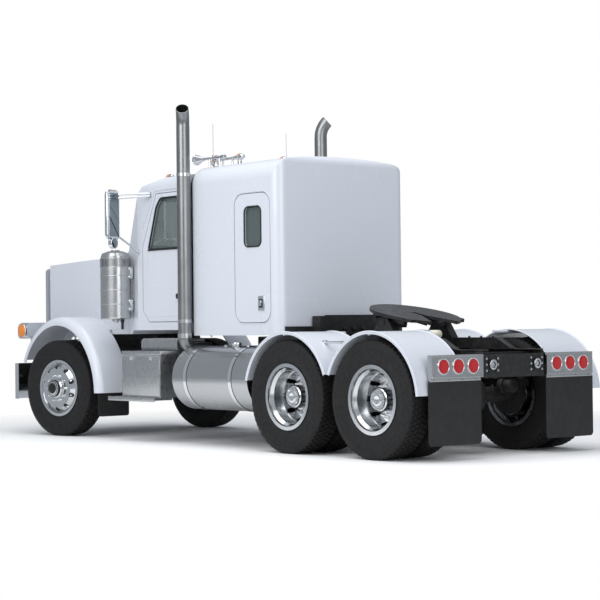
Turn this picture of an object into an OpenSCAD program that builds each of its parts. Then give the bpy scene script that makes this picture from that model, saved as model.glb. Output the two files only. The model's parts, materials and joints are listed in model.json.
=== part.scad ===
// Conventional truck tractor with a long tilting hood, a flat-top sleeper and twin drive axles.
// Front of the vehicle faces -Y, its left side is +X, Z is up and Z = 0 is the ground.
// The origin lies on the ground under the middle of the vehicle. All sizes are in mm.

/* [Wheels and axles] */
// place of the steered axle along the vehicle
front_axle_y = -2585; // [-2625:5:-2545]
// place of the forward drive axle
drive_a_y = 1646; // [1626:2:1666]
// place of the rearmost drive axle
drive_b_y = 2865; // [2845:2:2885]
// outside radius of every tyre
tyre_r = 550; // [540:1:556]
// height of the axle centres above the ground
axle_z = 550; // [540:1:556]
// distance of a front tyre's middle plane from the centre line
front_track_half = 1050; // [1040:1:1056]
// distance of an outer rear tyre's middle plane from the centre line
dual_outer_x = 1092.5; // [1085:0.5:1096]
// distance of an inner rear tyre's middle plane from the centre line
dual_inner_x = 749.5; // [742:0.5:752]

// how far the front wheels are steered to the left at rest, in degrees
rest_steer = 9; // [0:1:10]

/* [Frame] */
// distance of the frame rails' outer faces from the centre line
rail_x = 425; // [415:1:432]
// top of the frame rails above the ground
rail_top = 1000; // [990:1:1010]
// height of a frame rail
rail_h = 262; // [250:1:270]
// plate thickness of a frame rail
rail_t = 9; // [7:0.5:12]

/* [Hood] */
// half width of the hood at the grille
hood_front_half = 690; // [680:1:700]
// half width of the hood at the cab
hood_rear_half = 750; // [740:1:756]
// front end of the hood
hood_front_y = -3500; // [-3505:1:-3496]
// rear end of the hood
hood_rear_y = -1700; // [-1710:1:-1696]
// panel thickness of hood and fenders
panel_t = 14; // [10:1:18]

/* [Cab and sleeper] */
// half width of the cab at the doors
cab_half = 880; // [870:1:890]
// half width of the sleeper
sleeper_half = 880; // [870:1:890]
// wall thickness of cab, sleeper and doors
wall = 46; // [40:1:50]
// front face of the sleeper
sleeper_front_y = -290; // [-295:1:-286]
// rear face of the sleeper
sleeper_rear_y = 1135; // [1125:1:1145]
// height of the sleeper roof at its middle
roof_top = 2985; // [2975:1:2995]
// gap round every door
door_gap = 7; // [6:0.5:9]

/* [Exhaust and tanks] */
// distance of an exhaust stack from the centre line
stack_x = 970; // [966:1:980]
// place of the stacks along the vehicle
stack_y = -332; // [-336:1:-328]
// outside radius of a stack pipe
stack_r = 71; // [66:1:73]
// outside radius of a fuel tank
tank_r = 335; // [325:1:340]

/* [Coupling] */
// pivot height of the fifth wheel
fifth_z = 1262; // [1255:1:1275]
// place of the fifth wheel along the vehicle
fifth_y = 2180; // [2165:5:2195]
// resting tilt of the fifth wheel plate, rear down
fifth_tilt = 12; // [9:0.5:13]

/* [Hidden] */
$fn = 64;
king_x = 880;
rail_z0 = rail_top - rail_h;
rear_end = 3500;
hood_pivot = [0, -3420, 700];
cab_front_y = -1690;
cab_rear_y = -375;
stack_top = 3560;
bar_y = 3472;
bar_out = 1085;
fender_r = 630;
arch = [-2545, 500];

// ---- helpers ----
module along_x(x0, x1) translate([x0, 0, 0]) rotate([90, 0, 90]) linear_extrude(x1 - x0) children();
module along_y(y0, y1) translate([0, y1, 0]) rotate([90, 0, 0]) linear_extrude(y1 - y0) children();
module along_z(z0, z1) translate([0, 0, z0]) linear_extrude(z1 - z0) children();
module side(s) if (s < 0) mirror([1, 0, 0]) children(); else children();
module both() { children(); mirror([1, 0, 0]) children(); }
module box(x0, x1, y0, y1, z0, z1) translate([x0, y0, z0]) cube([x1 - x0, y1 - y0, z1 - z0]);
module rod_x(x0, x1, y, z, r) translate([x0, y, z]) rotate([0, 90, 0]) cylinder(h = x1 - x0, r = r);
module rod_y(x, y0, y1, z, r) translate([x, y1, z]) rotate([90, 0, 0]) cylinder(h = y1 - y0, r = r);
module rod_z(x, y, z0, z1, r) translate([x, y, z0]) cylinder(h = z1 - z0, r = r);
// rounded rectangle from corner to corner in the plane, all corners alike
module rrect(x0, y0, x1, y1, r) {
  translate([x0 + r, y0]) square([x1 - x0 - 2 * r, y1 - y0]);
  translate([x0, y0 + r]) square([x1 - x0, y1 - y0 - 2 * r]);
  for (x = [x0 + r, x1 - r], y = [y0 + r, y1 - r]) translate([x, y]) circle(r);
}

// ---- frame ----
module rail_profile() {
  difference() {
    translate([rail_x - 85, rail_z0]) square([85, rail_h]);
    translate([rail_x - 86, rail_z0 + rail_t]) square([86 - rail_t, rail_h - 2 * rail_t]);
  }
}
module chassis_frame() color("dimgray") {
  difference() {
    union() {
      both() along_y(-3330, rear_end) rail_profile();
      for (y = [-3270, -900, 250, 1180, 2255, 3330])
        along_y(y - 35, y + 35) translate([-rail_x + rail_t - 1, rail_z0 + 30])
          square([2 * (rail_x - rail_t + 1), rail_h - 60]);
    }
    // the rails' tops fall away behind the rearmost axle
    translate([0, 3180, rail_top]) rotate([-8, 0, 0]) translate([-500, 0, 0]) cube([1000, 700, 200]);
    for (y = [-900, 250, 1180, 2255, 3330]) rod_y(0, y - 40, y + 40, 870, 75);
    both() for (y = [600, 900, 2400, 2650]) rod_x(rail_x - 20, rail_x + 5, y, 870, 22);
  }
}
module rear_crossmember() color("black") difference() {
  union() {
    box(-405, 405, rear_end + 1, rear_end + 13, 742, 955);
    both() rod_y(300, rear_end + 12, rear_end + 34, 862, 48);
  }
  both() rod_y(300, rear_end - 5, rear_end + 40, 862, 22);
  for (x = [-345, -255, 255, 345], z = [795, 930]) rod_y(x, rear_end - 5, rear_end + 20, z, 8);
}

// ---- axles ----
module front_axle() color("dimgray") {
  difference() {
    union() {
      box(-720, 720, front_axle_y - 45, front_axle_y + 45, 455, 545);
      both() {
        along_y(front_axle_y - 45, front_axle_y + 45)
          polygon([[700, 455], [840, 500], [840, 600], [700, 545]]);
        rod_z(king_x, front_axle_y, 498, 602, 48);
        box(830, 850, front_axle_y - 40, front_axle_y + 40, 500, 600);
      }
    }
    both() rod_z(king_x, front_axle_y, 490, 610, 20.5);
    both() box(0, 700, front_axle_y + 16, front_axle_y + 50, 475, 525);
    both() box(0, 700, front_axle_y - 50, front_axle_y - 16, 475, 525);
  }
  rod_x(-790, 790, front_axle_y + 200, 500, 18);
}
module knuckle() color("darkslategray") {
  difference() {
    union() {
      box(king_x - 50, king_x + 92, front_axle_y - 50, front_axle_y + 50, 612, 660);
      box(king_x - 50, king_x + 92, front_axle_y - 50, front_axle_y + 50, 440, 488);
      box(king_x + 60, king_x + 92, front_axle_y - 75, front_axle_y + 75, 440, 660);
    }
    for (z = [485, 655]) rod_z(king_x, front_axle_y, z - 60, z + 20, 15);
  }
  rod_z(king_x, front_axle_y, 430, 670, 20);
  rod_x(king_x + 90, front_track_half + 120, front_axle_y, axle_z, 38);
  box(king_x - 70, king_x - 20, front_axle_y + 20, front_axle_y + 190, 446, 476);
}
module steered(s) translate([s * king_x, front_axle_y, 0]) rotate([0, 0, rest_steer])
  translate([-s * king_x, -front_axle_y, 0]) children();
module knuckle_left() steered(1) knuckle();
module knuckle_right() steered(-1) side(-1) knuckle();

module tyre_profile() polygon([
  [301, -104], [328, -104], [345, -126], [432, -140], [505, -133], [536, -121], [548, -104], [tyre_r, -90],
  [tyre_r, 90], [548, 104], [536, 121], [505, 133], [432, 140], [345, 126], [328, 104], [301, 104],
  [301, 80], [335, 90], [432, 116], [500, 112], [522, 95], [526, 70],
  [526, -70], [522, -95], [500, -112], [432, -116], [335, -90], [301, -80]]);
module tyre(x, y) translate([x, y, axle_z]) rotate([0, 90, 0]) rotate_extrude() tyre_profile();
module barrel_profile() polygon([
  [288, -117], [324, -117], [324, -106], [300, -105], [300, 105], [324, 106], [324, 117], [288, 117],
  [288, 104], [284, 90], [262, 60], [262, -60], [284, -90], [288, -104]]);

// front wheel: the disc stands outboard of the rim
module front_rim() difference() {
  rotate_extrude() {
    polygon([[288, -117], [324, -117], [324, -106], [300, -105], [300, 105], [324, 106], [324, 117],
      [292, 117], [286, 60], [272, 20], [272, -20], [286, -60]]);
    polygon([[110, 128], [225, 128], [287, 62], [292, 80], [235, 144], [110, 144]]);
  }
  for (i = [0:9]) rotate([0, 0, i * 36]) translate([244, 0, 40]) cylinder(h = 120, r = 26);
}
module front_hub() rotate_extrude() polygon([
  [39, -60], [100, -60], [205, -55], [205, -110], [215, -110], [215, 0], [150, 20], [108, 60],
  [108, 127.5], [109.5, 127.5], [109.5, 165], [95, 175], [90, 205], [40, 215], [0, 215], [0, 122], [39, 122]]);
module wheel_front(s) side(s) translate([front_track_half, front_axle_y, axle_z]) rotate([0, 90, 0]) {
  color("silver") front_rim();
  color("black") front_hub();
}
module tyre_front_left() color("black") steered(1) tyre(front_track_half, front_axle_y);
module tyre_front_right() color("black") steered(-1) side(-1) tyre(front_track_half, front_axle_y);
module wheel_front_left() steered(1) wheel_front(1);
module wheel_front_right() steered(-1) wheel_front(-1);

module drive_axle(y) {
  rod_x(-600, 600, y, axle_z, 75);
  both() rod_x(595, 912, y, axle_z, 58);
  both() difference() { rod_x(596, 622, y, axle_z, 205); }
  intersection() {
    translate([0, y, axle_z]) sphere(215);
    box(-170, 170, y - 220, y + 220, 300, 800);
  }
  rod_y(0, y - 330, y - 100, axle_z + 60, 85);
}
module drive_axles() color("dimgray") { drive_axle(drive_a_y); drive_axle(drive_b_y); }

// a drive wheel end: two rims back to back and the hub with its brake drum
module drive_rim() difference() {
  rotate_extrude() {
    barrel_profile();
    polygon([[165, -168], [235, -168], [266, -90], [266, -62], [255, -62], [226, -154], [165, -154]]);
  }
  for (i = [0:9]) rotate([0, 0, i * 36 + 18]) translate([247, 0, -175]) cylinder(h = 120, r = 25);
}
module drive_hub() rotate_extrude() polygon([
  [60, -290], [195, -290], [210, -290], [210, -20], [163, -16], [163, 15], [120, 20],
  [112, 190], [95, 202], [95, 216], [0, 216], [0, -4], [60, -4]]);
module wheels_drive(y, s) side(s) translate([0, y, axle_z]) {
  color("silver") translate([dual_outer_x, 0, 0]) rotate([0, 90, 0]) drive_rim();
  color("silver") translate([dual_inner_x, 0, 0]) rotate([0, 90, 0]) mirror([0, 0, 1]) drive_rim();
  color("dimgray") translate([921, 0, 0]) rotate([0, 90, 0]) drive_hub();
}
module tyres_drive(y, s) color("black") side(s) { tyre(dual_outer_x, y); tyre(dual_inner_x, y); }
module tyres_drive_a_left() tyres_drive(drive_a_y, 1);
module tyres_drive_a_right() tyres_drive(drive_a_y, -1);
module tyres_drive_b_left() tyres_drive(drive_b_y, 1);
module tyres_drive_b_right() tyres_drive(drive_b_y, -1);
module wheels_drive_a_left() wheels_drive(drive_a_y, 1);
module wheels_drive_a_right() wheels_drive(drive_a_y, -1);
module wheels_drive_b_left() wheels_drive(drive_b_y, 1);
module wheels_drive_b_right() wheels_drive(drive_b_y, -1);

// ---- suspension and driveline ----
module front_springs() color("dimgray") both() difference() {
  union() {
    for (i = [0:3]) box(438, 520, front_axle_y - 700 + i * 90, front_axle_y + 700 - i * 90,
      547 + i * 15, 560 + i * 15 + 3);
    rod_x(427, 522, front_axle_y - 715, 585, 32);
    rod_x(427, 522, front_axle_y + 715, 585, 32);
    box(427, 437, front_axle_y - 745, front_axle_y - 685, 585, 900);
    box(427, 437, front_axle_y + 685, front_axle_y + 745, 585, 900);
    box(420, 540, front_axle_y - 75, front_axle_y + 75, 611, 628);
  }
}
module rear_suspension() color("dimgray") {
  both() for (y = [drive_a_y, drive_b_y]) {
    difference() {
      union() {
        box(455, 545, y - 520, y + 330, 640, 700);
        box(455, 545, y - 60, y + 60, 600, 645);
        rod_z(515, y + 240, 700, 880, 80);
        box(427, 600, y + 150, y + 330, 880, 895);
        box(427, 450, y - 560, y - 440, 620, 960);
        rod_x(427, 560, y - 500, 665, 45);
      }
      rod_x(400, 600, y, axle_z, 76);
    }
  }
}
module driveline() color("gray") {
  rod_y(0, -1105, 1310, 690, 50);
  rod_y(0, -1758, -1490, 800, 140);
  rod_y(0, 1870, 2530, 620, 50);
  rod_y(0, -1500, -1100, 760, 170);
}
module engine_block() color("gray") box(-300, 300, -3050, -1760, 640, 1640);
module radiator() color("dimgray") {
  box(-430, 430, -3230, -3150, 1003, 1840);
}

// ---- hood and front end ----
module hood_plan(d = 0) polygon([
  [-hood_front_half + d, hood_front_y + 40], [-hood_front_half + 60 + d, hood_front_y - 10],
  [hood_front_half - 60 - d, hood_front_y - 10], [hood_front_half - d, hood_front_y + 40],
  [hood_rear_half - d, hood_rear_y + 20], [-hood_rear_half + d, hood_rear_y + 20]]);
module hood_side(d = 0, z0 = 880) polygon([
  [hood_front_y + d, z0], [hood_front_y + d, 1972 - d], [hood_front_y + 50 + d, 2000 - d],
  [hood_rear_y + d, 2062 - d], [hood_rear_y + d, z0]]);
module hood_solid(d) intersection() {
  along_z(800, 2200) hood_plan(d);
  along_x(-800, 800) hood_side(d, 880 - 4 * d);
  along_y(hood_front_y - 10, hood_rear_y + 40)
    rrect(-hood_rear_half + d, 600, hood_rear_half - d, 2068 - d, 100 - d);
}
module hood() color("white") difference() {
  hood_solid(0);
  hood_solid(panel_t);
  // grille opening, wheel arches and the raised lower edge ahead of the cab
  box(-560, 560, hood_front_y - 20, hood_front_y + 40, 870, 1880);
  rod_x(-800, 800, arch[0], arch[1], 758);
  box(-800, 800, -2100, hood_rear_y + 20, 800, 1165);
}
module grille() color("silver") {
  // deep surround with rounded corners, ahead of the hood
  difference() {
    intersection() {
      along_y(hood_front_y - 100, hood_front_y - 11) rrect(-688, 885, 688, 1968, 85);
      along_z(880, 1980) rrect(-688, hood_front_y - 100, 688, hood_front_y + 80, 45);
    }
    box(-600, 600, hood_front_y - 120, hood_front_y + 10, 935, 1890);
  }
  for (i = [0:20]) box(-602, 602, hood_front_y - 79, hood_front_y - 73, 952 + i * 45, 966 + i * 45);
  for (x = [-280, -4, 272]) box(x, x + 8, hood_front_y - 74, hood_front_y - 40, 930, 1894);
}
// a front fender: a strip that runs round the wheel, with a rounded outer edge and a narrow lip
module fender_profile() {
  polygon([[856, 640], [870, 640], [870, 1100], [856, 1100]]);
  polygon([[772, 1166], [790, 1166], [790, 1180], [772, 1180]]);
  difference() {
    intersection() {
      union() { translate([790, 1100]) circle(80); }
      translate([790, 1100]) square([90, 90]);
    }
    translate([790, 1100]) circle(66);
  }
}
module front_fender() translate([0, arch[0], arch[1]]) rotate([90, 0, 90])
  rotate([0, 0, 0.6]) rotate_extrude(angle = 154) fender_profile();
module front_fenders() color("white") both() difference() {
  front_fender();
  along_z(400, 1500) polygon([[hood_front_half + 1, hood_front_y + 40], [hood_rear_half + 1, hood_rear_y + 20],
    [hood_rear_half - 300, hood_rear_y + 20], [hood_front_half - 200, hood_front_y + 40]]);
  box(500, 790, -2060, -1600, 400, 1400);
}
module headlights() color("silver") both() {
  difference() {
    union() {
      along_y(-3490, -3300) rrect(830, 1130, 1120, 1310, 45);
      box(900, 1050, -3330, -3240, 1090, 1150);
    }
    along_y(-3500, -3470) rrect(845, 1145, 1105, 1295, 32);
    translate([0, arch[0], arch[1]]) rotate([0, 90, 0]) cylinder(h = 1300, r = 871);
  }
}
module bumper_plan(d) polygon([[-1180 + d, -3395], [-1180 + d, -3475 + d / 2], [-1115 + d / 2, -3540 + d],
  [1115 - d / 2, -3540 + d], [1180 - d, -3475 + d / 2], [1180 - d, -3395]]);
module bumper() color("silver") {
  difference() {
    along_z(405, 827) bumper_plan(0);
    along_z(400, 830) intersection() { bumper_plan(6); }
    box(-1200, 1200, -3396, -3390, 400, 830);
  }
  both() box(345, 365, -3533, -3332, 600, 800);
}

// ---- cab ----
module cab_side(d) polygon([
  [cab_front_y + d, 1165 + d], [cab_front_y + d, 2085 - d], [-1640 + d, 2105 - d],
  [-1300 + d, 2742 - d], [-1225, 2800 - d], [-700, 2900 - d], [cab_rear_y - d, 2922 - d],
  [cab_rear_y - d, 1207 + d], [-1500, 1207 + d], [-1540, 1165 + d]]);
module cab_plan(d) polygon([
  [-762 + d, cab_front_y - 10 + d], [762 - d, cab_front_y - 10 + d], [cab_half - d, -1330],
  [cab_half - d, cab_rear_y + 10 - d], [-cab_half + d, cab_rear_y + 10 - d], [-cab_half + d, -1330]]);
module cab_outer(d) intersection() {
  along_x(-900, 900) cab_side(d);
  along_z(1100, 2950) cab_plan(d);
  along_y(cab_front_y - 20, cab_rear_y + 20) intersection() {
    rrect(-cab_half + d, 1000, cab_half - d, 2925 - d, 160 - d);
    translate([0, 2925 - 7000 - d]) circle(7000);
  }
}
module door_outline(g) {
  polygon([[-1225 - g, 2080], [-1225 - g, 1420], [-1105 - g, 1300 - g],
    [-420 + g, 1300 - g], [-420 + g, 2700 + g], [-960 - g, 2700 + g], [-1225 - g, 2120 + g]]);
}
module cab_window() polygon([[-1115, 2095], [-500, 2095], [-500, 2650], [-880, 2650], [-960, 2560]]);
module glass_place() translate([0, -1640, 2105]) rotate([-28.1, 0, 0]) children();
module cab_shell() color("white") difference() {
  cab_outer(0);
  cab_outer(wall);
  along_x(700, 950) door_outline(door_gap);
  along_x(-950, -700) door_outline(door_gap);
  // windshield opening, square to the glass
  glass_place() box(-690, 690, -100, 100, 60, 650);
  // opening to the sleeper
  box(-330, 330, cab_rear_y - 100, cab_rear_y + 100, 1400, 2600);
}
module windshield() color("lightsteelblue")
  glass_place() for (s = [-1, 1]) side(s) box(4, 688, 14, 20, 62, 648);
module door(s) color("white") side(s) difference() {
  along_x(cab_half - wall, cab_half) door_outline(0);
  along_x(700, 950) cab_window();
  // bevelled front edge, so that it swings clear of the pillar
  along_z(1250, 2750) polygon([[900, -1240], [900, -1223], [880, -1223], [820, -1151], [820, -1240]]);
}
module door_glass(s) color("lightsteelblue") side(s)
  along_x(cab_half - 26, cab_half - 20) polygon([[-1111, 2097], [-502, 2097], [-502, 2648], [-879, 2648], [-957, 2560]]);
module door_left() door(1);
module door_right() door(-1);
module door_glass_left() door_glass(1);
module door_glass_right() door_glass(-1);
module seats_and_bunk() color("gray") {
  along_z(1560, 1760) rrect(-810, 300, 810, 1070, 60);
  both() {
  box(190, 650, -900, -430, 1640, 1760);
  box(190, 650, -520, -430, 1762, 2350);
  box(300, 540, -860, -500, 1260, 1638);
  }
}
module cab_boot() color("black") difference() {
  along_y(cab_rear_y + 1, sleeper_front_y - 1) rrect(-840, 1210, 840, 2880, 120);
  along_y(cab_rear_y - 9, sleeper_front_y + 9) rrect(-828, 1222, 828, 2868, 108);
}
module dashboard() color("dimgray") along_x(-700, 700)
  polygon([[-1635, 1600], [-1635, 2030], [-1480, 2030], [-1330, 1900], [-1330, 1780], [-1450, 1600]]);
module steering_wheel() color("black") translate([420, -1130, 1960]) rotate([-52, 0, 0]) {
  rotate_extrude() translate([215, 0]) circle(14);
  for (a = [0, 120, 240]) rotate([0, 0, a]) translate([25, -14, -5]) cube([180, 28, 10]);
  cylinder(h = 24, r = 45, center = true);
  translate([0, 0, -230]) cylinder(h = 230, r = 22);
}

// ---- sleeper ----
module sleeper_section(d) intersection() {
  union() {
    rrect(-sleeper_half + d, 900, sleeper_half - d, roof_top - 42 - d, 190 - d);
    translate([-711, 1500]) square([1422, 1600]);
  }
  translate([0, roof_top - 6000 - d]) circle(6000);
}
module sleeper_plan(d) {
  rrect(-sleeper_half + d, sleeper_front_y + d, sleeper_half - d, sleeper_rear_y - d, 110 - d);
  translate([-sleeper_half + d, sleeper_front_y + d]) square([2 * (sleeper_half - d), 200]);
}
// side profile: the roof falls away to the front and rounds over at the rear
module sleeper_side(d) {
  translate([160, roof_top - 2247]) circle(2250 - d);
  translate([160, 900]) square([sleeper_rear_y - 250, roof_top - 897 - d]);
  translate([sleeper_rear_y - 90, roof_top - 87]) circle(90 - d);
  translate([-700, 900]) square([sleeper_rear_y + 700 - d, 1300]);
  translate([160, 900]) square([sleeper_rear_y - 160 - d, roof_top - 987]);
}
module sleeper_outer(d) intersection() {
  along_y(sleeper_front_y + d, sleeper_rear_y - d) sleeper_section(d);
  along_z(1145 + d, 3100) sleeper_plan(d);
  along_x(-900, 900) sleeper_side(d);
}
module sleeper_door_outline(g) rrect(432 - g, 1277 - g, 1009 + g, 2596 + g, 130);
module sleeper_shell() color("white") difference() {
  sleeper_outer(0);
  sleeper_outer(wall);
  along_x(700, 950) sleeper_door_outline(door_gap);
  along_x(-950, -700) sleeper_door_outline(door_gap);
  box(-330, 330, sleeper_front_y - 50, sleeper_front_y + 60, 1400, 2600);
}
module sleeper_window(g) rrect(595 - g, 2052 - g, 869 + g, 2463 + g, 60);
module sleeper_door(s) color("white") side(s) difference() {
  along_x(sleeper_half - wall, sleeper_half) sleeper_door_outline(0);
  along_x(700, 950) sleeper_window(0);
  along_z(1250, 2650) polygon([[900, 420], [900, 435], [880, 435], [820, 507], [820, 420]]);
}
module sleeper_glass(s) color("lightsteelblue") side(s)
  along_x(sleeper_half - 26, sleeper_half - 20) sleeper_window(-1);
module sleeper_door_left() sleeper_door(1);
module sleeper_door_right() sleeper_door(-1);
module sleeper_glass_left() sleeper_glass(1);
module sleeper_glass_right() sleeper_glass(-1);
module rear_deck() color("black") {
  box(-455, 455, 1160, 1275, 1002, 1335);
  box(-800, 800, 1137, 1159, 1150, 1232);
}

// ---- outside fittings ----
module bracket_plan() difference() {
  polygon([[800, -1560], [835, -1500], [960, -1440], [880, -1440], [822, -1480], [790, -1540]]);
  translate([1000, -1590]) circle(169);
  polygon([[762, cab_front_y - 10], [cab_half + 1, -1330], [600, -1330], [600, cab_front_y]]);
}
module air_cleaners() color("silver") both() {
  translate([1000, -1590, 0]) rotate_extrude() polygon([
    [0, 1332], [164, 1332], [170, 1340], [170, 2010], [164, 2016], [164, 2034], [150, 2068], [90, 2092], [0, 2100]]);
  along_z(1420, 1560) bracket_plan();
  along_z(1780, 1920) bracket_plan();
}
module rod_between(a, b, r) {
  d = b - a;
  translate(a) rotate([0, acos(d[2] / norm(d)), atan2(d[1], d[0])]) cylinder(h = norm(d), r = r);
}
module mirrors() color("silver") both() {
  translate([1255, -1245, 0]) rotate([0, 0, 20]) along_y(-45, 15) rrect(-95, 2215, 95, 2735, 45);
  rod_between([1185, -1262, 2700], [889, -1068, 2712], 11);
  rod_between([1185, -1262, 2660], [889, -1068, 2684], 11);
  box(881, 893, -1092, -1044, 2668, 2728);
  rod_between([1190, -1268, 2250], [1000, -1300, 2150], 11);
  translate([1000, -1300, 2150]) sphere(11.5);
  rod_between([1000, -1300, 2150], [889, -1312, 2076], 11);
  box(881, 893, -1334, -1290, 2050, 2100);
  translate([1262, -1248, 2165]) rotate([90, 0, 20]) cylinder(h = 40, r = 60, center = true);
}
// an arc of pipe in the vertical plane across the vehicle, of bend radius b
module bend(b, a0, a1, r) rotate([90, 0, 0]) rotate([0, 0, a0]) rotate_extrude(angle = a1 - a0)
  translate([b, 0]) circle(r);
tip_turn = 50;
module exhaust_stacks() color("silver") both() translate([stack_x, stack_y, 0]) {
  difference() {
    union() {
      rod_z(0, 0, 1130, stack_top - 180, stack_r);
      translate([-130, 0, 1130]) bend(130, -91, 0.5, stack_r - 1);
      rod_x(-330, -130, 0, 1000, stack_r - 2);
      rotate([0, 0, tip_turn]) translate([240, 0, stack_top - 180]) bend(240, 132, 180.3, stack_r - 1);
    }
    rod_z(0, 0, 1500, stack_top - 179, stack_r - 4);
    rotate([0, 0, tip_turn]) translate([240, 0, stack_top - 180]) bend(240, 131, 181, stack_r - 5);
  }
}
module fuel_tanks() color("silver") both() {
  rod_y(870, -245, 1022, 703, tank_r);
  rod_z(930, 509, 1000, 1058, 48);
  for (y = [-60, 700]) along_y(y, y + 70) difference() {
    translate([427, 600]) square([200, 380]);
    translate([870, 703]) circle(tank_r + 1);
  }
}
module tool_boxes() color("silver") both() {
  box(600, 1180, -1209, -488, 482, 981);
  box(427, 599, -1150, -1080, 780, 960);
  box(427, 599, -620, -550, 780, 960);
  along_y(-1098, -430) rrect(640, 982, 1000, 1115, 40);
}
module side_steps() color("silver") both() {
  box(980, 1215, -1440, -560, 455, 481);
  box(700, 980, -1430, -1400, 455, 481);
}
module rear_fender(y, a0, a1) translate([0, y, axle_z]) rotate([90, 0, 90])
  translate([0, 0, 615]) rotate([0, 0, a0]) rotate_extrude(angle = a1 - a0) {
    translate([fender_r - 8, 0]) square([8, 617]);
    translate([fender_r - 24, 609]) square([17, 8]);
  }
module rear_fenders() color("white") both() {
  rear_fender(drive_a_y, 21, 166);
  rear_fender(drive_b_y, 4.5, 159);
  for (y = [drive_a_y, drive_b_y]) rod_x(427, 1220, y - 20, 1159, 16);
}
module light_bars() color("silver") both() difference() {
  box(430, bar_out, bar_y, bar_y + 60, 752, 960);
  box(420, bar_out - 6, bar_y - 10, bar_y + 54, 758, 954);
}
module tail_lamps() color("red") both() for (x = [565, 755, 945]) rod_y(x, bar_y + 60.5, bar_y + 68, 858, 66);
module mudflaps() color("black") both() {
  along_y(bar_y + 30, bar_y + 38) rrect(440, 145, 1110, 750, 40);
  along_y(-1735, -1727) rrect(740, 245, 1150, 500, 30);
}
module fifth_wheel_base() color("dimgray") {
  both() {
    difference() {
      along_x(330, 420) polygon([[fifth_y - 250, rail_top + 15], [fifth_y - 60, fifth_z + 36],
        [fifth_y + 60, fifth_z + 36], [fifth_y + 250, rail_top + 15]]);
      rod_x(300, 450, fifth_y, fifth_z, 26);
    }
  }
  box(-428, 428, fifth_y - 420, fifth_y + 420, rail_top + 1, rail_top + 14);
  // mounting angles along the rails
  both() along_x(345, 424) polygon([[1330, rail_top + 1], [1330, rail_top + 105], [2950, rail_top + 105],
    [3150, rail_top + 1]]);
}
module fifth_wheel_plate() color("dimgray") {
  translate([0, fifth_y, fifth_z]) rotate([-fifth_tilt, 0, 0]) difference() {
    union() {
      along_z(62, 92) difference() {
        union() { circle(457); translate([-390, 0]) square([780, 330]); }
        polygon([[-27, -10], [-27, 110], [-210, 480], [210, 480], [27, 110], [27, -10]]);
        for (s = [-1, 1]) polygon([[s * 300, 480], [s * 300, 400], [s * 480, 180], [s * 480, 480]]);
      }
      both() box(200, 322, -110, 110, -30, 63);
    }
    along_z(-100, 200) { translate([0, -20]) circle(27); }
  }
  both() rod_x(310, 425, fifth_y, fifth_z, 25);
}
// [x, y, foot z, lens z] of each roof lamp: five along the cab roof, four on the front of the sleeper roof
lamps = [for (x = [-600, -300, 0, 300, 600]) [x, -1105, 2826.5, 2905],
  for (p = [[630, 3040, 2955], [305, 3078, 2960.5]], s = [-1, 1]) [s * p[0], -215, p[2], p[1]]];
module roof_lamps() color("orange") for (p = lamps) {
  translate([p[0], p[1], p[3]]) sphere(36);
  rod_z(p[0], p[1], p[2], p[3], 14);
}
module air_tanks() color("dimgray") both() rod_y(260, 350, 900, 840, 110);

chassis_frame();
rear_crossmember();
front_axle();
knuckle_left();
knuckle_right();
tyre_front_left();
tyre_front_right();
wheel_front_left();
wheel_front_right();
drive_axles();
tyres_drive_a_left();
tyres_drive_a_right();
tyres_drive_b_left();
tyres_drive_b_right();
wheels_drive_a_left();
wheels_drive_a_right();
wheels_drive_b_left();
wheels_drive_b_right();
front_springs();
rear_suspension();
driveline();
engine_block();
radiator();
hood();
front_fenders();
grille();
headlights();
bumper();
cab_shell();
windshield();
door_left();
door_right();
door_glass_left();
door_glass_right();
seats_and_bunk();
dashboard();
steering_wheel();
sleeper_shell();
sleeper_door_left();
sleeper_door_right();
sleeper_glass_left();
sleeper_glass_right();
cab_boot();
rear_deck();
air_cleaners();
mirrors();
exhaust_stacks();
fuel_tanks();
tool_boxes();
side_steps();
rear_fenders();
light_bars();
tail_lamps();
mudflaps();
fifth_wheel_base();
fifth_wheel_plate();
roof_lamps();
air_tanks();
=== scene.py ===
import bpy
import json
import math
from mathutils import Matrix, Vector


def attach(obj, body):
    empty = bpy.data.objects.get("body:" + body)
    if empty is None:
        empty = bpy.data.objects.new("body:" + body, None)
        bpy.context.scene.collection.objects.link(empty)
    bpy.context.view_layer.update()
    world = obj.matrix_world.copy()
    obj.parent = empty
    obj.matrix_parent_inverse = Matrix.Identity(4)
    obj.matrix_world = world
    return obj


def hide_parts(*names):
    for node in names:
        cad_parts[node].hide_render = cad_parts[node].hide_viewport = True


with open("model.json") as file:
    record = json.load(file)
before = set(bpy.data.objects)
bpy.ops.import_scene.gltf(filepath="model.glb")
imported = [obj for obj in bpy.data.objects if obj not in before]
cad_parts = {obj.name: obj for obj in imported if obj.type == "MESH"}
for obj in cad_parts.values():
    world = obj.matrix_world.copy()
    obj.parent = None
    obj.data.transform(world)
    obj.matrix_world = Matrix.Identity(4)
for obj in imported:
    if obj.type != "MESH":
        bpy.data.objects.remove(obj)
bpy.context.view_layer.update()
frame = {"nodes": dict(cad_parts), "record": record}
NODES = frame["nodes"]
bpy.ops.object.select_all(action="DESELECT")

# ---------------------------------------------------------------- materials


def lin(code):
    """A hex colour as linear red, green, blue, alpha."""
    out = []
    for k in (1, 3, 5):
        c = int(code[k:k + 2], 16) / 255
        out.append(c / 12.92 if c <= 0.04045 else ((c + 0.055) / 1.055) ** 2.4)
    return (*out, 1.0)


def put(tree, kind, ins=None, **props):
    """Adds one shader node; ins maps a socket's name or number to a value or to another node's output."""
    n = tree.nodes.new(kind)
    for k, v in props.items():
        setattr(n, k, v)
    for k, v in (ins or {}).items():
        if isinstance(v, bpy.types.NodeSocket):
            tree.links.new(v, n.inputs[k])
        else:
            n.inputs[k].default_value = v
    return n


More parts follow.
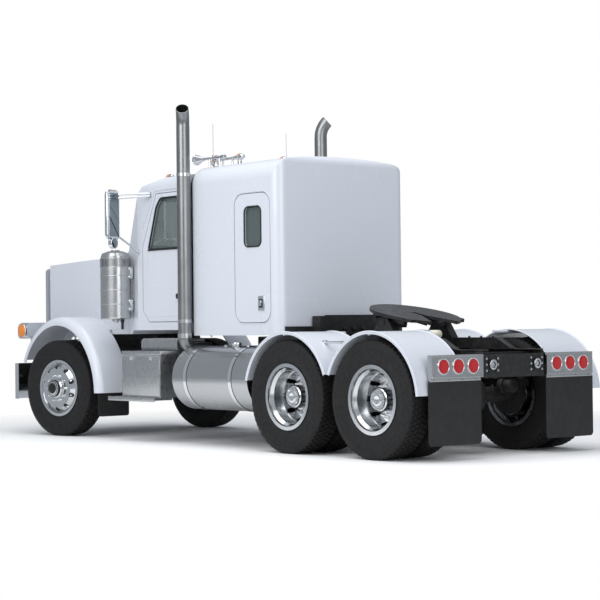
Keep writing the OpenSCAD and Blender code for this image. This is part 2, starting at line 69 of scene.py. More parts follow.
def maths(tree, op, a, b=0.0, c=0.0):
    return put(tree, "ShaderNodeMath", {0: a, 1: b, 2: c}, operation=op).outputs[0]


def finish(name, colour, rough=0.5, metal=0.0, coat=0.0, vary=0.06, scale=3.0, stretch=(1, 1, 1),
           grain=0.0, grain_scale=400.0, rough_vary=0.08, alpha=1.0, trans=0.0, ior=None, spec=None,
           dirt=None, glow=0.0, holes=0.0, lozenges=0.0):
    """A procedural finish: base colour that varies a little, uneven roughness and a fine bump.
    scale and grain_scale are in cells a metre; dirt is (hex colour, amount) gathered in patches."""
    m = bpy.data.materials.new(name)
    m.use_nodes = True
    t = m.node_tree
    t.nodes.clear()
    out = put(t, "ShaderNodeOutputMaterial")
    pos = put(t, "ShaderNodeTexCoord").outputs["Object"]
    pos = put(t, "ShaderNodeMapping", {"Vector": pos, "Scale": stretch}).outputs[0]
    cloud = put(t, "ShaderNodeTexNoise", {"Vector": pos, "Scale": scale, "Detail": 4.0}).outputs["Fac"]
    base = lin(colour)
    dark = tuple(x * (1 - vary) for x in base[:3]) + (1.0,)
    lite = tuple(min(1, x * (1 + vary)) for x in base[:3]) + (1.0,)
    col = put(t, "ShaderNodeMix", {"Factor": cloud, "A": dark, "B": lite}, data_type="RGBA")
    col.inputs[6].default_value = dark
    col.inputs[7].default_value = lite
    colour_out = col.outputs[2]
    if dirt:
        patch = put(t, "ShaderNodeTexNoise",
                    {"Vector": pos, "Scale": scale * 2.3, "Detail": 8.0}).outputs["Fac"]
        edge = put(t, "ShaderNodeMapRange", {"Value": patch, "From Min": 0.48, "From Max": 0.72,
                                             "To Min": 0.0, "To Max": dirt[1]}).outputs[0]
        mix = put(t, "ShaderNodeMix", {"Factor": edge}, data_type="RGBA")
        t.links.new(colour_out, mix.inputs[6])
        mix.inputs[7].default_value = lin(dirt[0])
        colour_out = mix.outputs[2]
    r = put(t, "ShaderNodeMapRange", {"Value": cloud, "From Min": 0.3, "From Max": 0.7,
                                      "To Min": max(0.02, rough - rough_vary),
                                      "To Max": rough + rough_vary})
    ins = {"Base Color": colour_out, "Roughness": r.outputs[0], "Metallic": metal, "Coat Weight": coat,
           "Coat Roughness": 0.06, "Alpha": alpha, "Transmission Weight": trans}
    if ior:
        ins["IOR"] = ior
    if spec is not None:
        ins["Specular IOR Level"] = spec
    if glow:
        ins["Emission Color"] = base
        ins["Emission Strength"] = glow
    if grain:
        fine = put(t, "ShaderNodeTexNoise",
                   {"Vector": pos, "Scale": grain_scale, "Detail": 3.0}).outputs["Fac"]
        ins["Normal"] = put(t, "ShaderNodeBump",
                            {"Strength": grain, "Distance": 0.001, "Height": fine}).outputs[0]
    if holes:
        cell = put(t, "ShaderNodeTexVoronoi", {"Vector": pos, "Scale": holes, "Randomness": 0.0})
        hole_shade_mask = maths(t, "LESS_THAN", cell.outputs["Distance"], 0.34)
        mix = put(t, "ShaderNodeMix", {"Factor": hole_shade_mask}, data_type="RGBA")
        t.links.new(colour_out, mix.inputs[6])
        # the holes are painted near-black: painted shade of the inside seen through them
        mix.inputs[7].default_value = lin("#1a1a1b")
        ins["Base Color"] = mix.outputs[2]
    if lozenges:
        turn = put(t, "ShaderNodeMapping", {"Vector": pos, "Rotation": (0.78, 0.78, 0.78)}).outputs[0]
        cell = put(t, "ShaderNodeTexVoronoi", {"Vector": turn, "Scale": lozenges, "Randomness": 0.15})
        bump = maths(t, "LESS_THAN", cell.outputs["Distance"], 0.30)
        ins["Normal"] = put(t, "ShaderNodeBump",
                            {"Strength": 0.8, "Distance": 0.002, "Height": bump}).outputs[0]
    bsdf = put(t, "ShaderNodeBsdfPrincipled", ins)
    t.links.new(bsdf.outputs[0], out.inputs[0])
    return m


MAT = {
    # two-stage cool white lacquer on panels
    "white_paint": finish("white_paint", "#d3d7df", 0.26, coat=0.35, vary=0.012, scale=1.2,
                          rough_vary=0.04),
    "frame_paint": finish("frame_paint", "#151517", 0.5, vary=0.25, scale=9, grain=0.25, grain_scale=160,
                          dirt=("#3b3631", 0.5)),
    "axle_paint": finish("axle_paint", "#1d1d1f", 0.6, vary=0.3, scale=12, grain=0.5, grain_scale=120,
                         dirt=("#4a4036", 0.5)),
    "tyre": finish("tyre", "#19191a", 0.72, vary=0.15, scale=20, grain=0.25, grain_scale=900, spec=0.3,
                   dirt=("#3a3733", 0.25)),
    "alloy": finish("alloy", "#d4d6d8", 0.17, metal=1.0, vary=0.05, scale=6, rough_vary=0.06),
    "tank_alloy": finish("tank_alloy", "#b9bbbd", 0.26, metal=1.0, vary=0.03, scale=2, rough_vary=0.04),
    "tread_plate": finish("tread_plate", "#b3b5b7", 0.32, metal=1.0, vary=0.1, scale=18, lozenges=34.0),
    "chrome": finish("chrome", "#dcdee0", 0.07, metal=1.0, vary=0.02, scale=5, rough_vary=0.03),
    "stainless": finish("stainless", "#bcbdbe", 0.27, metal=1.0, vary=0.03, scale=3, rough_vary=0.04),
    # satin exhaust tube, lightly heat-stained
    "satin_pipe": finish("satin_pipe", "#8f9091", 0.34, metal=1.0, vary=0.08, scale=2.5, rough_vary=0.06,
                         dirt=("#6d665c", 0.25)),
    "interior": finish("interior", "#3a3a3d", 0.7, vary=0.1, scale=8, grain=0.4, grain_scale=500),
    "black_plastic": finish("black_plastic", "#121213", 0.5, vary=0.1, scale=10, grain=0.2,
                            grain_scale=700),
    "fabric": finish("fabric", "#4a4d55", 0.9, vary=0.12, scale=25, grain=0.6, grain_scale=900),
    "rubber_flap": finish("rubber_flap", "#161617", 0.62, vary=0.15, scale=5, grain=0.2, grain_scale=300,
                          dirt=("#2c2a28", 0.4)),
    "red_lens": finish("red_lens", "#b80f14", 0.16, coat=0.6, vary=0.1, scale=60, grain=0.5,
                       grain_scale=250,
                       glow=0.05),
    "amber_lens": finish("amber_lens", "#e0821c", 0.16, coat=0.6, vary=0.1, scale=60, grain=0.5,
                         grain_scale=250, glow=0.05),
    "lamp_body": finish("lamp_body", "#d5d7d9", 0.1, metal=1.0, vary=0.03, scale=9, rough_vary=0.04),
    "greased_iron": finish("greased_iron", "#232325", 0.42, metal=0.3, vary=0.3, scale=14, grain=0.5,
                           grain_scale=90, dirt=("#4d4640", 0.45)),
    "mirror_silver": finish("mirror_silver", "#7f898e", 0.03, metal=1.0, vary=0.01, scale=3,
                            rough_vary=0.01),
    # punched stainless screen: holes on a 9 mm pitch, painted near-black as painted shade of the inside
    # seen through them
    "perforated": finish("perforated", "#a9aaab", 0.3, metal=1.0, vary=0.05, scale=9, holes=110.0),
    # raised lozenge tread on bright aluminium sheet
    "diamond_plate": finish("diamond_plate", "#b9bbbd", 0.3, metal=1.0, vary=0.08, scale=16, lozenges=34.0),
    "clear_lens": finish("clear_lens", "#dfe6ea", 0.08, vary=0.02, scale=40, coat=0.8, grain=0.4,
                         grain_scale=180,
                         alpha=0.75),
    "cream_plastic": finish("cream_plastic", "#d9d5c4", 0.45, vary=0.05, scale=12, grain=0.1),
    # green-grey laminated glass
    "glass": finish("glass", "#5d6b6a", 0.04, vary=0.02, scale=3, rough_vary=0.01, alpha=0.55, coat=1.0),
}
SLOT = {s["node"]: s["material_slot"] for s in frame["record"]["subparts"]}
for name, o in NODES.items():
    o.data.materials.clear()
    o.data.materials.append(MAT["satin_pipe" if name == "exhaust_stacks" else SLOT[name]])


# ---------------------------------------------------------------- modelling


def clear():
    if bpy.context.object and bpy.context.object.mode != "OBJECT":
        bpy.ops.object.mode_set(mode="OBJECT")
    bpy.ops.object.select_all(action="DESELECT")


def pick(o, test):
    """Selects in edit mode the faces whose centre and normal pass the test."""
    bpy.ops.object.mode_set(mode="EDIT")
    bpy.ops.mesh.select_mode(type="FACE")
    bpy.ops.mesh.select_all(action="DESELECT")
    bpy.ops.object.mode_set(mode="OBJECT")
    for f in o.data.polygons:
        f.select = test(f.center, f.normal)
    bpy.ops.object.mode_set(mode="EDIT")


def modify(o, kind, **props):
    mod = o.modifiers.new("m", kind)
    for k, v in props.items():
        setattr(mod, k, v)
    bpy.context.view_layer.objects.active = o
    bpy.ops.object.modifier_apply(modifier=mod.name)
    return o


def settle(o):
    clear()
    o.select_set(True)
    bpy.context.view_layer.objects.active = o
    bpy.ops.object.transform_apply(location=True, rotation=True, scale=True)
    return o


def block(lo, hi, width=0.004, segments=2):
    """A cube at its size, with its edges rounded."""
    clear()
    bpy.ops.mesh.primitive_cube_add(size=1, location=[(a + b) / 2 for a, b in zip(lo, hi)])
    o = bpy.context.object
    o.scale = [b - a for a, b in zip(lo, hi)]
    settle(o)
    if width:
        modify(o, "BEVEL", width=width, segments=segments, limit_method="ANGLE")
    return o


def turned(at, axis, r, depth, steps=(), sides=32, width=0.0, tip=1.0):
    """A cylinder that starts at a point and runs along an axis; its far end is inset and pushed in steps
    of (inset, push), and its far rim may be tapered."""
    clear()
    n = Vector(axis).normalized()
    bpy.ops.mesh.primitive_cylinder_add(vertices=sides, radius=r, depth=depth,
                                        location=Vector(at) + n * depth / 2)
    o = bpy.context.object
    o.rotation_euler = n.to_track_quat("Z", "Y").to_euler()
    settle(o)
    end = (Vector(at) + n * depth).dot(n)
    pick(o, lambda c, m: m.dot(n) > 0.99 and abs(c.dot(n) - end) < 1e-4)
    if tip != 1.0:
        bpy.ops.transform.resize(value=(tip, tip, tip), center_override=Vector(at) + n * depth)
    for inset, push in steps:
        if inset:
            bpy.ops.mesh.inset(thickness=inset)
        if push:
            bpy.ops.mesh.extrude_region_move(TRANSFORM_OT_translate={"value": n * push})
    bpy.ops.mesh.select_all(action="SELECT")
    bpy.ops.mesh.normals_make_consistent(inside=False)
    bpy.ops.object.mode_set(mode="OBJECT")
    if width:
        modify(o, "BEVEL", width=width, segments=2, limit_method="ANGLE")
    return o


def ring(at, axis, big, small, flat=1.0, sides=48, around=10):
    """A torus about an axis, squeezed along it."""
    clear()
    n = Vector(axis).normalized()
    bpy.ops.mesh.primitive_torus_add(major_radius=big, minor_radius=small, major_segments=sides,
                                     minor_segments=around, location=at)
    o = bpy.context.object
    bpy.ops.object.mode_set(mode="EDIT")
    bpy.ops.mesh.select_all(action="SELECT")
    bpy.ops.transform.resize(value=(1, 1, flat), center_override=at)
    bpy.ops.object.mode_set(mode="OBJECT")
    o.rotation_euler = n.to_track_quat("Z", "Y").to_euler()
    return settle(o)


def band(at, axis, r, length, thick=0.003, sides=64):
    """A thin band round a cylinder, centred on a point of its axis."""
    clear()
    n = Vector(axis).normalized()
    bpy.ops.mesh.primitive_cylinder_add(vertices=sides, radius=r, depth=length, end_fill_type="NOTHING",
                                        location=at)
    o = bpy.context.object
    o.rotation_euler = n.to_track_quat("Z", "Y").to_euler()
    settle(o)
    return modify(o, "SOLIDIFY", thickness=thick, offset=1.0)


def tube(points, r, closed=False, soft=0.0, sides=6):
    """A pipe through points; soft rounds its corners by that length."""
    pts = [Vector(q) for q in points]
    if soft:
        out = []
        n = len(pts)
        for k, q in enumerate(pts):
            if not closed and k in (0, n - 1):
                out.append(q)
                continue
            a = (pts[k - 1] - q).normalized() * soft
            b = (pts[(k + 1) % n] - q).normalized() * soft
            for t in (0, 0.17, 0.33, 0.5, 0.67, 0.83, 1):
                out.append((1 - t) ** 2 * (q + a) + 2 * t * (1 - t) * q + t * t * (q + b))
        pts = out
    clear()
    d = bpy.data.curves.new("tube", "CURVE")
    d.dimensions = "3D"
    d.bevel_depth = r
    d.bevel_resolution = sides // 2
    d.use_fill_caps = not closed
    sp = d.splines.new("POLY")
    sp.points.add(len(pts) - 1)
    for k, q in enumerate(pts):
        sp.points[k].co = (*q, 1)
    sp.use_cyclic_u = closed
    o = bpy.data.objects.new("tube", d)
    bpy.context.scene.collection.objects.link(o)
    o.select_set(True)
    bpy.context.view_layer.objects.active = o
    bpy.ops.object.convert(target="MESH")
    return bpy.context.object


def copy_of(o, matrix):
    c = o.copy()
    c.data = o.data.copy()
    bpy.context.scene.collection.objects.link(c)
    c.data.transform(matrix)
    if matrix.determinant() < 0:
        c.data.flip_normals()
    return c


FLIP = Matrix.Scale(-1, 4, (1, 0, 0))


def mirrored(objs):
    return [copy_of(o, FLIP) for o in objs]


def made(objs, name, mat, body="chassis", stands_for=(), angle=38):
    """Joins loose pieces into one finished piece that rides on a body."""
    clear()
    for o in objs:
        o.select_set(True)
    bpy.context.view_layer.objects.active = objs[0]
    if len(objs) > 1:
        bpy.ops.object.join()
    o = bpy.context.object
    o.name = name
    o.data.name = name
    o.data.materials.clear()
    o.data.materials.append(MAT[mat])
    bpy.ops.object.shade_smooth_by_angle(angle=math.radians(angle))
    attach(o, body)
    if stands_for:
        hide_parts(*stands_for)
    clear()
    return o


def spun(o, count, axis, centre, phase=0.0):
    """Copies of a piece round an axis, the first one included."""
    out = []
    for k in range(count):
        a = phase + 2 * math.pi * k / count
        m = Matrix.Translation(centre) @ Matrix.Rotation(a, 4,
                                                         axis) @ Matrix.Translation([-c for c in centre])
        out.append(copy_of(o, m))
    bpy.data.objects.remove(o)
    return out


# ---------------------------------------------------------------- tyres and wheels

TYRE_R, AXLE_Z = 0.550, 0.550
FRONT_Y, KING_X, STEER = -2.585, 0.880, math.radians(9)
DRIVE_Y = {"a": 1.646, "b": 2.865}
TRACK, OUTER_X, INNER_X = 1.050, 1.0925, 0.7495


def carcass():
    """A tyre about the X axis: two sidewalls pulled in ring by ring from a cylinder, and joined inside."""
    clear()
    bpy.ops.mesh.primitive_cylinder_add(vertices=96, radius=0.542, depth=0.236,
                                        rotation=(0, math.pi / 2, 0))
    o = settle(bpy.context.object)
    walls = [(0.007, 0.004), (0.014, 0.008), (0.030, 0.008), (0.012, 0.0015), (0.008, -0.0025),
             (0.026, 0.0015), (0.010, 0.002),
             (0.010, -0.003), (0.040, -0.006), (0.042, -0.014), (0.018, -0.016), (0.018, -0.004)]
    for s in (1, -1):
        pick(o, lambda c, n: n.x * s > 0.99 and abs(c.y) + abs(c.z) < 0.01)
        for inset, push in walls:
            bpy.ops.mesh.inset(thickness=inset)
            bpy.ops.transform.translate(value=(s * push, 0, 0))
        bpy.ops.mesh.delete(type="FACE")
        bpy.ops.object.mode_set(mode="OBJECT")
    bpy.ops.object.mode_set(mode="EDIT")
    bpy.ops.mesh.select_all(action="DESELECT")
    bpy.ops.mesh.select_mode(type="EDGE")
    bpy.ops.mesh.select_non_manifold()
    bpy.ops.mesh.bridge_edge_loops()
    bpy.ops.mesh.select_all(action="SELECT")
    bpy.ops.mesh.normals_make_consistent(inside=False)
    bpy.ops.object.mode_set(mode="OBJECT")
    return o


def lug(x, width, length):
    """A tread block at the top of the tyre, narrower at its top."""
    o = block((x - width / 2, -length / 2, 0.526), (x + width / 2, length / 2, TYRE_R), 0)
    pick(o, lambda c, n: n.z > 0.9)
    bpy.ops.transform.resize(value=(0.88, 0.84, 1), center_override=(x, 0, TYRE_R))
    bpy.ops.object.mode_set(mode="OBJECT")
    return o


def tyre(kind):
    ribs = {"front": [(0, 0.034, 0.060, 54), (0.047, 0.036, 0.060, 54), (-0.047, 0.036, 0.060, 54),
                      (0.094, 0.040, 0.063, 54), (-0.094, 0.040, 0.063, 54)],
            "drive": [(0.023, 0.040, 0.042, 66), (-0.023, 0.040, 0.042, 66), (0.069, 0.044, 0.041, 66),
                      (-0.069, 0.044, 0.041, 66), (0.104, 0.022, 0.042, 66),
                      (-0.104, 0.022, 0.042, 66)]}[kind]
    out = [carcass()]
    for k, (x, w, l, n) in enumerate(ribs):
        out += spun(lug(x, w, l), n, "X", (0, 0, 0), phase=k * 0.031)
    clear()
    for o in out:
        o.select_set(True)
    bpy.context.view_layer.objects.active = out[0]
    bpy.ops.object.join()
    return bpy.context.object


def steer_m(s):
    k = Vector((s * KING_X, FRONT_Y, 0))
    return Matrix.Translation(k) @ Matrix.Rotation(STEER, 4, "Z") @ Matrix.Translation(-k)


front_tyre, drive_tyre = tyre("front"), tyre("drive")
nut = turned((0, 0, 0.143), (1, 0, 0), 0.0165, 0.020, [(0.005, 0.007)], sides=6, width=0.0015)
stud = turned((0, 0, 0.078), (1, 0, 0), 0.0085, 0.010, [(0.002, 0.003)], sides=6)
for s, side in ((1, "left"), (-1, "right")):
    flip = Matrix.Identity(4) if s > 0 else FLIP
    body = "front_wheel_" + side
    place = steer_m(s) @ Matrix.Translation((s * TRACK, FRONT_Y, AXLE_Z))
    made([copy_of(front_tyre, place @ flip)], "tyre_tread_front_" + side, "tyre", body,
         ["tyre_front_" + side])
    nuts = spun(copy_of(nut, Matrix.Translation((0.143, 0, 0))), 10, "X", (0, 0, 0), 0.31)
    made([copy_of(o, place @ flip) for o in nuts], "wheel_nuts_front_" + side, "chrome", body)
    for o in nuts:
        bpy.data.objects.remove(o)
    hub = [turned((0.150, 0, 0), (1, 0, 0), 0.098, 0.050, [(0.014, 0.008), (0.022, 0.008), (0.024, 0.004)],
                  40, 0.003),
           turned((0.216, 0, 0), (1, 0, 0), 0.032, 0.006, [(0.008, 0.003)], 24)]
    made([copy_of(o, place @ flip) for o in hub], "hub_cap_front_" + side, "black_plastic", body)
    for o in hub:
        bpy.data.objects.remove(o)
    for k, y in DRIVE_Y.items():
        body = "drive_wheels_%s_%s" % (k, side)
        at = Matrix.Translation((0, y, AXLE_Z))
        made([copy_of(drive_tyre, flip_at) for flip_at in
              (at @ flip @ Matrix.Translation((OUTER_X, 0, 0)),
               at @ flip @ Matrix.Translation((INNER_X, 0, 0)))],
             "tyre_tread_drive_%s_%s" % (k, side), "tyre", body, ["tyres_drive_%s_%s" % (k, side)])
        nuts = spun(copy_of(nut, Matrix.Translation((0.936, 0, 0))), 10, "X", (0, 0, 0))
        studs = spun(copy_of(stud, Matrix.Translation((1.1365, 0, 0))), 8, "X", (0, 0, 0))
        caps = [turned((1.1365, 0, 0), (1, 0, 0), 0.058, 0.008, [(0.010, 0.006), (0.016, -0.004)], 32,
                       0.001)]
        made([copy_of(o, at @ flip) for o in nuts + studs + caps], "wheel_nuts_%s_%s" % (k, side), "chrome",
             body)
        dark = [ring((1.108, 0, 0), (1, 0, 0), 0.111, 0.006, 1.6)]
        made([copy_of(o, at @ flip) for o in dark], "hub_ring_%s_%s" % (k, side), "axle_paint", body)
        for o in nuts + studs + caps + dark:
            bpy.data.objects.remove(o)
for o in (front_tyre, drive_tyre, nut, stud):
    bpy.data.objects.remove(o)


# ---------------------------------------------------------------- cab, doors and glass


def outline(points, x, s):
    return [(s * x, y / 1000, z / 1000) for y, z in points]


def rounded(y0, z0, y1, z1, r, steps=6):
    """Corner points of a rounded rectangle in the side view, in mm."""
    out = []
    for cy, cz, a0 in ((y1 - r, z1 - r, 0), (y0 + r, z1 - r, 90), (y0 + r, z0 + r, 180),
                       (y1 - r, z0 + r, 270)):
        for k in range(steps + 1):
            a = math.radians(a0 + 90 * k / steps)
            out.append((cy + r * math.cos(a), cz + r * math.sin(a)))
    return out


CAB_WINDOW = [(-1115, 2095), (-500, 2095), (-500, 2650), (-880, 2650), (-960, 2560)]
for s, side in ((1, "left"), (-1, "right")):
    made([tube(outline(CAB_WINDOW, 0.881, s), 0.010, True, 0.030),
          tube(outline([(-1118, 2088), (-497, 2088)], 0.883, s), 0.009)],
         "door_window_rubber_" + side, "black_plastic", "door_" + side)
    o = [block((0.880, -0.600, 1.545), (0.893, -0.480, 1.600), 0.006),
         block((0.893, -0.585, 1.560), (0.905, -0.495, 1.585), 0.005),
         turned((0.880, -0.455, 1.572), (1, 0, 0), 0.012, 0.007, [(0.003, 0.002)], 20)]
    made(o if s > 0 else mirrored(o), "door_latch_" + side, "black_plastic", "door_" + side)
    if s < 0:
        for q in o:
            bpy.data.objects.remove(q)
    made([tube(outline([(-1150, 1360), (-440, 1360)], 0.8795, s), 0.003)], "door_swage_" + side,
         "white_paint",
         "door_" + side)
    made([tube(outline(rounded(595, 2052, 869, 2463, 60), 0.881, s), 0.008, True)],
         "sleeper_window_rubber_" + side, "black_plastic", "sleeper_door_" + side)
    made([tube(outline(rounded(414, 1259, 1027, 2614, 148), 0.8795, s), 0.0045, True)],
         "sleeper_door_bead_" + side, "white_paint", "chassis")
    o = [block((0.880, 0.815, 1.395), (0.889, 0.915, 1.545), 0.010, 3)]
    made(o if s > 0 else mirrored(o), "sleeper_latch_bezel_" + side, "chrome", "sleeper_door_" + side)
    q = [block((0.889, 0.838, 1.425), (0.893, 0.892, 1.515), 0.004),]
    made(q if s > 0 else mirrored(q), "sleeper_latch_well_" + side, "black_plastic", "sleeper_door_" + side)
    t = [block((0.893, 0.850, 1.445), (0.902, 0.880, 1.500), 0.005, 3)]
    made(t if s > 0 else mirrored(t), "sleeper_latch_paddle_" + side, "chrome", "sleeper_door_" + side)
    if s < 0:
        for z in o + q + t:
            bpy.data.objects.remove(z)

# drip rails, cab grab rails, wipers, windshield rubber
rails = [tube(outline([(-1225, 2330), (-985, 2740), (-400, 2745)], 0.882, 1), 0.007, soft=0.04)]
made(rails + mirrored(rails), "drip_rails", "white_paint")
grabs = [tube([(0.905, -0.385, 1.55), (0.915, -0.385, 1.60), (0.915, -0.385, 2.45), (0.905, -0.385, 2.50)],
              0.012, soft=0.02),
         turned((0.880, -0.385, 1.55), (1, 0, 0), 0.018, 0.026, [(0.005, 0.004)], 20),
         turned((0.880, -0.385, 2.50), (1, 0, 0), 0.018, 0.026, [(0.005, 0.004)], 20)]
made(grabs + mirrored(grabs), "grab_rails", "chrome")
slope = math.radians(28.1)


def on_glass(x, up, out):
    """A point on the windshield: across, up the glass and out of it."""
    return (x, -1.640 + up * math.sin(slope) - out * math.cos(slope),
            2.105 + up * math.cos(slope) + out * math.sin(slope))


wipe = []
for x0, x1 in ((0.16, 0.52), (-0.52, -0.16)):
    wipe += [tube([on_glass(x0, 0.03, 0.02), on_glass((x0 + x1) / 2, 0.24, 0.024)], 0.007),
             tube([on_glass(x0 + 0.04, 0.12, 0.012), on_glass(x1, 0.40, 0.012)], 0.006),
             turned(on_glass(x0, 0.03, -0.005), (0, -math.cos(slope), math.sin(slope)), 0.016, 0.03,
                    [(0.004, 0.004)], 16)]
made(wipe, "wipers", "black_plastic")
made([tube([on_glass(-0.69, 0.06, 0.0), on_glass(0.69, 0.06, 0.0), on_glass(0.69, 0.65, 0.0),
            on_glass(-0.69, 0.65, 0.0)], 0.011, True, 0.03),
      tube([on_glass(0, 0.06, 0), on_glass(0, 0.65, 0)], 0.010)],
     "windshield_rubber", "black_plastic")

# horns, antennas, lamp bodies on the roofs
horns = []
for x, y, l in ((0.700, -0.020, 0.30), (0.520, -0.020, 0.24)):
    horns += [turned((x, y, 3.040), (0, -1, 0), 0.014, l, [], 24, 0, 1.0),
              turned((x, y - l, 3.040), (0, -1, 0), 0.016, 0.14, [(0.006, -0.03)], 32, 0, 3.6),
              turned((x, y + 0.07, 3.040), (0, -1, 0), 0.021, 0.07, [(0.006, 0.008)], 28, 0.003),
              tube([(x, y - 0.03, 2.940), (x, y - 0.03, 3.035)], 0.010),
              tube([(x, y - 0.20, 2.935), (x, y - 0.20, 3.035)], 0.010)]
made(horns, "air_horns", "chrome")
masts = [tube([(0.516, -0.400, 2.905), (0.516, -0.400, 3.440)], 0.003),
         tube([(-0.516, -0.400, 2.905), (-0.516, -0.400, 3.400)], 0.003)]
feet = [turned((x, -0.400, 2.905), (0, 0, 1), 0.020, 0.05, [(0.006, 0.02)], 20, 0.002, 0.7)
        for x in (0.516, -0.516)]
made(masts + feet, "antennas", "stainless")
LAMPS = [(x / 1000, -1.105, 2.905) for x in (-600, -300, 0, 300, 600)] + [
    (0.630 * q, -0.215, 3.040) for q in (1, -1)] + [(0.305 * q, -0.215, 3.078) for q in (1, -1)]
shells = []
for x, y, z in LAMPS:
    low = 2.826 if y < -1 else 2.957
    shells += [turned((x, y + 0.026, z), (0, 1, 0), 0.038, 0.055, [(0.010, 0.012), (0.010, 0.004)], 28,
                      0.003, 0.55),
               turned((x, y, low), (0, 0, 1), 0.0165, z - low - 0.034, [], 20, 0.001),
               turned((x, y + 0.02, low), (0, 0, 1), 0.026, z - low - 0.02, [], 20, 0.003, 0.6)]
made(shells, "roof_lamp_bodies", "chrome")

# ---------------------------------------------------------------- mirrors, air cleaners, stacks

TURN = Matrix.Translation((1.255, -1.245, 0)) @ Matrix.Rotation(math.radians(20), 4, "Z")


def at_mirror(objs):
    for o in objs:
        o.data.transform(TURN)
    return objs


glass = at_mirror([block((-0.082, 0.015, 2.235), (0.082, 0.018, 2.716), 0.001, 1)])
made(glass + mirrored(glass), "mirror_glass", "mirror_silver")
loop = at_mirror([tube([(-0.104, -0.012, 2.206), (0.100, -0.012, 2.206), (0.100, -0.012, 2.744),
                        (-0.104, -0.012, 2.744)],
                       0.009, True, 0.05), ring((0, 0.016, 2.475), (0, 1, 0), 0.001, 0.0005)])
round_glass = at_mirror([turned((0.004, 0.016, 2.165), (0, 1, 0), 0.052, 0.004,
                                [(0.006, 0.003), (0.014, 0.002)], 36)])
rims = at_mirror([ring((0.004, 0.018, 2.165), (0, 1, 0), 0.057, 0.005),
                  tube([(-0.06, 0.017, 2.226), (0.06, 0.017, 2.226)], 0.004)])
made(round_glass + mirrored(round_glass), "spot_mirror_glass", "mirror_silver")
made(loop + rims + mirrored(loop + rims), "mirror_frames", "chrome")

can = [ring((1.0, -1.590, z), (0, 0, 1), 0.1705, 0.005, 0.8, 64, 8) for z in (1.345, 1.500, 1.660, 1.820,
    1.915, 2.012)]
can += [turned((1.0, -1.590, 1.333), (0, 0, -1), 0.045, 0.020, [(0.010, 0.012), (0.014, 0.008)], 32, 0.002),
        turned((1.0, -1.590, 2.098), (0, 0, 1), 0.055, 0.006, [(0.012, 0.004)], 32, 0.002)]
made(can + mirrored(can), "air_cleaner_rings", "stainless")
mesh_band = [band((1.0, -1.590, 1.963), (0, 0, 1), 0.1705, 0.086, 0.0015)]
made(mesh_band + mirrored(mesh_band), "air_cleaner_screen", "perforated")
clamps = []
for z in (1.49, 1.85):
    clamps += [turned((0.915, -1.452, z + dz), (0.3, 0.95, 0), 0.017, 0.030, [(0.005, 0.006)], 6,
                      0.002) for dz in (-0.045, 0.045)]
    clamps += [block((0.862, -1.475, z - 0.062), (0.905, -1.438, z + 0.062), 0.010, 3)]
made(clamps + mirrored(clamps), "air_cleaner_clamps", "chrome")

pipe = [band((0.970, -0.332, z), (0, 0, 1), 0.0715, w, 0.003, 48) for z,
        w in ((1.30, 0.035), (2.86, 0.035), (1.145, 0.05))]
pipe += [block((0.885, -0.350, z - 0.02), (0.905, -0.314, z + 0.02), 0.004) for z in (1.30, 2.86)]
made(pipe + mirrored(pipe), "stack_clamps", "stainless")

# ---------------------------------------------------------------- tanks, boxes and steps

straps = [band((0.870, y, 0.703), (0, 1, 0), 0.3352, 0.052, 0.004, 96) for y in (-0.025, 0.736)]
straps += [turned((0.870, -0.245, 0.703), (0, -1, 0), 0.318, 0.004, [(0.030, 0.010), (0.05, 0.006)], 96,
                  0.002)]
made(straps + mirrored(straps), "tank_straps", "chrome")
liner = [band((0.870, y, 0.703), (0, 1, 0), 0.3350, 0.062, 0.0015, 96) for y in (-0.025, 0.736)]
made(liner + mirrored(liner), "tank_strap_rubber", "black_plastic")
cap = [turned((0.930, 0.509, 1.045), (0, 0, 1), 0.056, 0.022, [(0.008, 0.006), (0.020, -0.004)], 24, 0.003)]
bits = [turned((0.930, 0.330, 1.022), (0, 0, 1), 0.020, 0.020, [(0.005, 0.006)], 6),
        turned((0.930, 0.700, 1.020), (0, 0, 1), 0.018, 0.018, [(0.005, 0.005)], 6)]
made(cap + bits + mirrored(cap + bits), "tank_caps", "chrome")

box_parts = [block((0.598, -1.213, 0.940), (1.186, -0.484, 0.984), 0.005),
             block((1.180, -1.195, 0.500), (1.187, -0.502, 0.926), 0.004)]
made(box_parts + mirrored(box_parts), "tool_box_lids", "diamond_plate")
box_trim = [turned((1.186, y, 0.905), (1, 0, 0), 0.022, 0.010, [(0.005, 0.004), (0.008, -0.003)],
                   28) for y in (-1.03, -0.66)]
box_trim += [tube([(1.187, -1.195, 0.932), (1.187, -0.502, 0.932)], 0.005)]
made(box_trim + mirrored(box_trim), "tool_box_locks", "chrome")
upper = [block((0.637, -1.102, 1.070), (0.985, -0.426, 1.119), 0.012, 3)]
made(upper + mirrored(upper), "battery_box_lids", "tank_alloy")
steps = [block((0.990, y - 0.16, 0.481), (1.200, y + 0.16, 0.485), 0.002) for y in (-1.20, -0.80)]
steps += [block((1.208, -1.440, 0.440), (1.217, -0.560, 0.487), 0.003)]
made(steps + mirrored(steps), "step_treads", "diamond_plate")

# ---------------------------------------------------------------- tail

